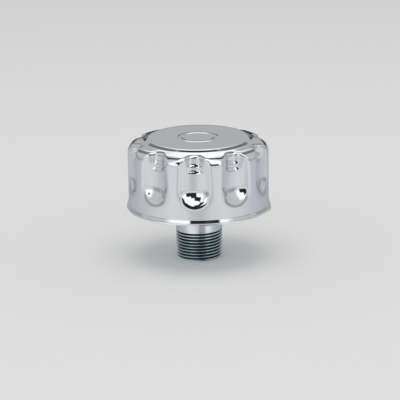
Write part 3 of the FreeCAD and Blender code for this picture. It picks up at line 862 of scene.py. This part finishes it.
def stuff(name, tint, groups, rough, patch, relief, darker=0.6):
    """Paper, fibre, rubber or resin, with uneven tone and a fine relief."""
    _, tree, shader = surface(name, tint, 0.0, rough)
    grains = placed(tree, groups["grain"], Patch_Scale=patch, Wave_Height=relief, Grain_Height=relief / 4)
    mask = Value(tree, grains.outputs["Mask"])
    give(tree, shader.inputs["Base Color"], toned(tree, tint, scaled(tint, darker), mask))
    give(tree, shader.inputs["Roughness"], mask.mixed(rough, min(1.0, rough + ROUGHER)))
    tree.links.new(grains.outputs["Normal"], shader.inputs["Normal"])


METALS = {
    # Colour, lowest and highest roughness, patches to the metre, height of waves and of grain, darkest tone
    # and height of turning marks
    "cap_chrome": ("chrome", (0.035, 0.06), 35.0, 1.2e-5, 1e-7, 0.97),
    "spigot_zinc": ("zinc", (0.14, 0.22), 160.0, 2e-6, 2e-7, 0.9, 8e-7),
    "pan_zinc": ("zinc", (0.24, 0.4), 90.0, 1.5e-5, 1.5e-6, 0.82),
    "tinplate": ("tin", (0.25, 0.45), 120.0, 1e-5, 2e-6, 0.8),
    "bright_wire": ("wire", (0.2, 0.35), 300.0, 5e-6, 1e-6, 0.8),
}

STUFFS = {
    # Colour, roughness, patches to the metre, height of the relief, and darkest tone where it isn't 0.6
    "filter_paper": ("paper", 0.8, 220.0, 2e-5, 0.8),
    "gasket_fibre": ("fibre", 0.7, 500.0, 2e-5),
    "nitrile_rubber": ("nitrile", 0.5, 300.0, 1e-5),
    "potting_resin": ("potting", 0.35, 150.0, 1e-5),
}


def finishes():
    """Every finish by name, made once."""
    if "cap_chrome" not in bpy.data.materials:
        tints = bpy.context.scene.breather_finishes
        groups = {"grain": grain_group(), "turning": turning_group()}
        for recipe, looks in ((metal, METALS), (stuff, STUFFS)):
            for name, (tint, *numbers) in looks.items():
                recipe(name, tuple(getattr(tints, tint)), groups, *numbers)
        grooved(bpy.data.materials["spigot_zinc"], tuple(tints.groove))
    return {name: bpy.data.materials[name] for name in (*METALS, *STUFFS)}


NODE_FINISHES = {
    "pan_zinc": ("base_pan", "backing_washer", "splash_baffle"),
    "spigot_zinc": ("baffle_stud",),
    "gasket_fibre": ("spigot_gasket",),
    "nitrile_rubber": ("element_seat_ring",),
    "filter_paper": ("pleated_media",),
    "potting_resin": ("lower_potting", "upper_potting"),
    "tinplate": (
        "lower_end_plate",
        "upper_end_plate",
        "core_tube",
        "outer_screen",
        "lower_grid",
        "upper_grid",
        "spring_cup",
    ),
    "bright_wire": ("mesh_pad", "pad_clip", "hold_down_spring"),
}


def dress_nodes(made):
    """Puts a finish on each part of the frame that keeps its own shape."""
    for finish, nodes in NODE_FINISHES.items():
        for node in nodes:
            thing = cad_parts[node]
            if not thing.material_slots:
                thing.data.materials.append(made[finish])
            for place in thing.material_slots:
                place.material = made[finish]


# The studio
def from_camera(x, y, camera_turn):
    """How far to the right and to the front a place is, seen from the camera, and its bearing in degrees.

    The bearing is 0 at the camera's side and more to the right.
    """
    right = x * math.cos(camera_turn) + y * math.sin(camera_turn)
    front = x * math.sin(camera_turn) - y * math.cos(camera_turn)
    return right, front, right.step("ARCTAN2", front) * math.degrees(1.0)


def window(value, low, high, soft):
    """1 between low and high, going softly to 0 outside."""
    return value.eased(low - soft, low) * value.eased(high, high + soft, 1.0, 0.0)


# The room that the chrome mirrors. Angles are in degrees. An angle over the top is 0 at the camera's side,
# 90 straight up and 180 at the far side. A share aside is 0 in the camera's plane and 1 beside the part.

# The tone behind the floor, as the camera sees it
SEEN_TONE = 0.68
# The near wall: where its tone rises with height, and where it falls with the bearing
NEAR_WALL_RISE = (9.0, 15.0)
NEAR_WALL_TONES = (0.8, 1.3)
NEAR_WALL_SIDES = (42.0, 62.0)
NEAR_WALL_SIDE_SHARE = 0.5
# The ceiling: a bright strip over the middle, and a darker seam beside it
CEILING_START = 96.0
STRIP_EDGE = (0.1, 0.3)
STRIP_TONES = (1.25, 0.6)
SEAM = (0.37, 0.58)
SEAM_SOFTNESS = 0.07
SEAM_SHARE = 0.35
# The far wall: where it begins over the top, its tone, its share of red, and the darker horizon at its foot
FAR_WALL_START = (149.0, 153.0)
FAR_WALL_TONE = 0.5
FAR_WALL_RED = 0.99
HORIZON_RISE = (8.0, 13.0)
HORIZON_SIDES = (0.42, 0.55)
HORIZON_TONES = (0.06, 0.4)
# The dark gap between the near wall and the ceiling
GAP = (86.0, 101.0)
GAP_SOFTNESS = 2.0
GAP_SIDES = (0.5, 0.7)
GAP_TONE = 0.05
# Dark places on the near wall: lowest and highest bearing, lowest and highest elevation. Their softness is
# given in bearing and in elevation.
DARK_PLACES = (
    (-12.0, 32.0, 10.0, 24.0),
    (-38.0, -8.0, 28.0, 44.0),
    (-12.0, 10.0, 20.0, 32.0),
)
DARK_SOFTNESS = (5.0, 2.5)
DARK_TONE = 0.02
# The light that isn't mirrored: strong round the horizon and weak above
LIGHT_RISE = (30.0, 42.0)
LIGHT_STRENGTHS = (1.9, 0.4)

# Painted light and shade on the floor, seen only in mirrors: bearing to either side and tone
FLOOR_LIGHT_TONES = (
    (0.0, 0.96),
    (10.0, 1.0),
    (20.0, 1.07),
    (40.0, 1.11),
    (60.0, 1.02),
    (90.0, 0.86),
    (120.0, 0.75),
    (140.0, 0.64),
    (160.0, 0.62),
    (170.0, 0.72),
    (180.0, 0.80),
)
# Its painted bluer tint at the far side, seen only in mirrors, and the bearings between which it gets there
FLOOR_TINTS = (0.975, 0.99, 1.04)
FLOOR_TINT_SIDES = (30.0, 110.0)
# Painted shade on the floor in front of the part, seen only in mirrors: bearings, softness and tone
SHADE = (-6.0, 4.0, 14.0)
SHADE_TONE = 0.87
# Painted light and shadow on the floor close to the part, seen only in mirrors: how far from the axis it
# reaches in metres, how far round, the bearings and softness of its painted shadow, and the tones outside
# and inside that
CLOSE_REACH = (0.09, 0.12)
CLOSE_SIDES = (50.0, 70.0)
CLOSE_SHADOW = (4.0, 24.0, 10.0)
CLOSE_LIGHT_AND_SHADOW = (1.35, 0.6)


def make_room(camera_turn):
    """The world: soft light, and for reflections a near wall, a ceiling and a far wall with dark places."""
    world = bpy.data.worlds.new("studio_room")
    bpy.context.scene.world = world
    world.use_nodes = True
    tree = world.node_tree
    tree.nodes.clear()
    x, y, z = parts(tree, tree.nodes.new("ShaderNodeTexCoord").outputs["Generated"])
    right, front, around = from_camera(x, y, camera_turn)
    height = z.step("ARCSINE") * math.degrees(1.0)
    over = z.step("ARCTAN2", front) * math.degrees(1.0)
    aside = right.step("ABSOLUTE")

    near_side = around.step("ABSOLUTE").eased(*NEAR_WALL_SIDES, 1.0, NEAR_WALL_SIDE_SHARE)
    near_wall = height.eased(*NEAR_WALL_RISE, *NEAR_WALL_TONES) * near_side
    seam = window(aside, *SEAM, SEAM_SOFTNESS).mixed(1.0, SEAM_SHARE)
    ceiling = aside.eased(*STRIP_EDGE, *STRIP_TONES) * seam
    tone = over.above(CEILING_START).mixed(near_wall, ceiling)
    behind = over.eased(*FAR_WALL_START)
    horizon = aside.eased(*HORIZON_SIDES, *HORIZON_TONES)
    tone = behind.mixed(tone, height.eased(*HORIZON_RISE).mixed(horizon, FAR_WALL_TONE))
    gap = window(over, *GAP, GAP_SOFTNESS) * aside.eased(*GAP_SIDES, 1.0, 0.0)
    tone = gap.mixed(tone, GAP_TONE)
    for low, high, foot, top in DARK_PLACES:
        place = window(around, low, high, DARK_SOFTNESS[0]) * window(height, foot, top, DARK_SOFTNESS[1])
        tone = place.mixed(tone, DARK_TONE)
    mirrored_tint = joined(tree, tone * behind.mixed(1.0, FAR_WALL_RED), tone, tone)

    white = (1.0, 1.0, 1.0, 1.0)
    looks = (
        ((SEEN_TONE, SEEN_TONE, SEEN_TONE, 1.0), 1.0),
        (mirrored_tint, 1.0),
        (white, height.step("ABSOLUTE").eased(*LIGHT_RISE, *LIGHT_STRENGTHS)),
    )
    shades = []
    for tint, strength in looks:
        shade = add_node(tree, "ShaderNodeBackground", {"Color": tint, "Strength": strength})
        shades.append(shade.outputs[0])
    seen, mirrored, lighting = shades
    path = tree.nodes.new("ShaderNodeLightPath").outputs
    first = add_node(tree, "ShaderNodeMixShader", {0: path["Is Glossy Ray"], 1: lighting, 2: mirrored})
    second = add_node(tree, "ShaderNodeMixShader", {0: path["Is Camera Ray"], 1: first.outputs[0], 2: seen})
    tree.links.new(second.outputs[0], tree.nodes.new("ShaderNodeOutputWorld").inputs[0])


def floor_finish(tint, camera_turn):
    """Pale floor. For mirrored rays, light and shade are painted on it: brighter in front of the part,
    darker and bluer at its sides, with painted shade in front of the part and close to it.
    """
    material, tree, shader = surface("studio_floor", tint, 0.0, 0.9)
    shader.inputs["Specular IOR Level"].default_value = 0.0
    x, y, _ = parts(tree, tree.nodes.new("ShaderNodeTexCoord").outputs["Object"])
    way = from_camera(x, y, camera_turn)[2]
    around = way.step("ABSOLUTE")
    # Painted light and shade on the floor for mirrored rays, by bearing
    tone = FLOOR_LIGHT_TONES[0][1]
    for (start, low), (end, high) in zip(FLOOR_LIGHT_TONES, FLOOR_LIGHT_TONES[1:]):
        tone = around.eased(start, end, 0.0, high - low) + tone
    # Painted shade in front of the part
    tone = tone * window(way, *SHADE).mixed(1.0, SHADE_TONE)
    # Painted light and shadow on the floor close to the part
    close = hypotenuse(x, y).eased(*CLOSE_REACH, 1.0, 0.0) * around.eased(*CLOSE_SIDES, 1.0, 0.0)
    tone = tone * close.mixed(1.0, window(way, *CLOSE_SHADOW).mixed(*CLOSE_LIGHT_AND_SHADOW))
    side = around.eased(*FLOOR_TINT_SIDES)
    path = tree.nodes.new("ShaderNodeLightPath").outputs
    glossy = Value(tree, path["Is Glossy Ray"])
    shares = []
    for far_tint, part in zip(FLOOR_TINTS, tint):
        shares.append(glossy.mixed(1.0, tone * side.mixed(1.0, far_tint)) * part)
    give(tree, shader.inputs["Base Color"], joined(tree, *shares))
    clear = tree.nodes.new("ShaderNodeBsdfTransparent")
    below = tree.nodes.new("ShaderNodeNewGeometry").outputs["Backfacing"]
    both = add_node(tree, "ShaderNodeMixShader", {0: below, 1: shader.outputs[0], 2: clear.outputs[0]})
    tree.links.new(both.outputs[0], tree.nodes["Material Output"].inputs["Surface"])
    return material


def make_stage():
    """Floor, room, lamp and camera."""
    scene = bpy.context.scene
    studio = scene.breather_studio
    half = 4.0
    level = -0.2 * MM
    corners = [(-half, -half, level), (half, -half, level), (half, half, level), (-half, half, level)]
    mesh = bpy.data.meshes.new("studio_floor")
    mesh.from_pydata(corners, [], [(0, 1, 2, 3)])
    mesh.materials.append(floor_finish(tuple(studio.floor), studio.camera_turn))
    floor = bpy.data.objects.new("studio_floor", mesh)
    scene.collection.objects.link(floor)
    make_room(studio.camera_turn)

    lamp = bpy.data.lights.new("overhead_softbox", "AREA")
    lamp.shape = "SQUARE"
    lamp.size = 0.9
    lamp.energy = 4.5
    holder = bpy.data.objects.new("overhead_softbox", lamp)
    scene.collection.objects.link(holder)
    holder.location = (0.0, -0.15, 1.1)
    holder.rotation_euler = (math.radians(-8.0), 0.0, 0.0)
    holder.visible_glossy = False

    rise, way = studio.camera_rise, studio.camera_turn
    back = Vector((math.sin(way) * math.cos(rise), -math.cos(way) * math.cos(rise), math.sin(rise)))
    right = Vector((math.cos(way), math.sin(way), 0.0))
    orbit_centre = Vector((0.0, 0.0, 35.0 * MM))
    place = orbit_centre + back * studio.distance
    aim = Vector((0.0, 0.0, studio.aim_height)) + right * studio.aim_side
    camera = bpy.data.cameras.new("studio_camera")
    camera.lens = studio.lens
    camera.sensor_width = 36.0
    camera.clip_start = 0.01
    camera.clip_end = 20.0
    eye = bpy.data.objects.new("studio_camera", camera)
    scene.collection.objects.link(eye)
    eye.rotation_mode = "QUATERNION"
    eye.location = place
    look = (aim - place).to_track_quat("-Z", "Y").to_matrix()
    eye.rotation_quaternion = (look @ Matrix.Rotation(-studio.camera_roll, 3, "Z")).to_quaternion()
    scene.camera = eye
    scene.view_settings.view_transform = "Standard"


# What the user sees
class BreatherMakeCap(bpy.types.Operator):
    """Make the fluted chrome cap with its vent hoods"""

    bl_idname = "breather.make_cap"
    bl_label = "Pressed Cap"
    bl_options = {"REGISTER", "UNDO"}

    def execute(self, context):
        make_cap(finishes()["cap_chrome"])
        return {"FINISHED"}


class BreatherMakeSpigot(bpy.types.Operator):
    """Make the threaded spigot"""

    bl_idname = "breather.make_spigot"
    bl_label = "Threaded Spigot"
    bl_options = {"REGISTER", "UNDO"}

    def execute(self, context):
        make_spigot(finishes()["spigot_zinc"])
        return {"FINISHED"}


class BreatherDressInside(bpy.types.Operator):
    """Put finishes on the pan and on the parts inside the cap"""

    bl_idname = "breather.dress_inside"
    bl_label = "Pan and Element"
    bl_options = {"REGISTER", "UNDO"}

    def execute(self, context):
        dress_nodes(finishes())
        return {"FINISHED"}


class BreatherMakeStage(bpy.types.Operator):
    """Make the floor, the light and the camera"""

    bl_idname = "breather.make_stage"
    bl_label = "Studio"
    bl_options = {"REGISTER", "UNDO"}

    def execute(self, context):
        make_stage()
        return {"FINISHED"}


class BreatherPanel(bpy.types.Panel):
    """Lists what makes the breather filter"""

    bl_idname = "VIEW3D_PT_breather"
    bl_label = "Breather Filter"
    bl_space_type = "VIEW_3D"
    bl_region_type = "UI"
    bl_category = "Breather"

    def draw(self, context):
        for name, group in GROUPS.items():
            box = self.layout.box()
            box.label(text=group.__doc__)
            for label in group.__annotations__:
                box.prop(getattr(context.scene, name), label)
        for operator in OPERATORS:
            self.layout.operator(operator.bl_idname)


OPERATORS = (BreatherMakeCap, BreatherMakeSpigot, BreatherDressInside, BreatherMakeStage)


def register():
    for kind in (*GROUPS.values(), *OPERATORS, BreatherPanel):
        bpy.utils.register_class(kind)
    for name, group in GROUPS.items():
        setattr(bpy.types.Scene, name, bpy.props.PointerProperty(type=group))


def unregister():
    for name in GROUPS:
        delattr(bpy.types.Scene, name)
    for kind in reversed((*GROUPS.values(), *OPERATORS, BreatherPanel)):
        bpy.utils.unregister_class(kind)


def main():
    register()
    bpy.ops.breather.make_cap()
    bpy.ops.breather.make_spigot()
    bpy.ops.breather.dress_inside()
    bpy.ops.breather.make_stage()


if __name__ == "__main__":
    main()
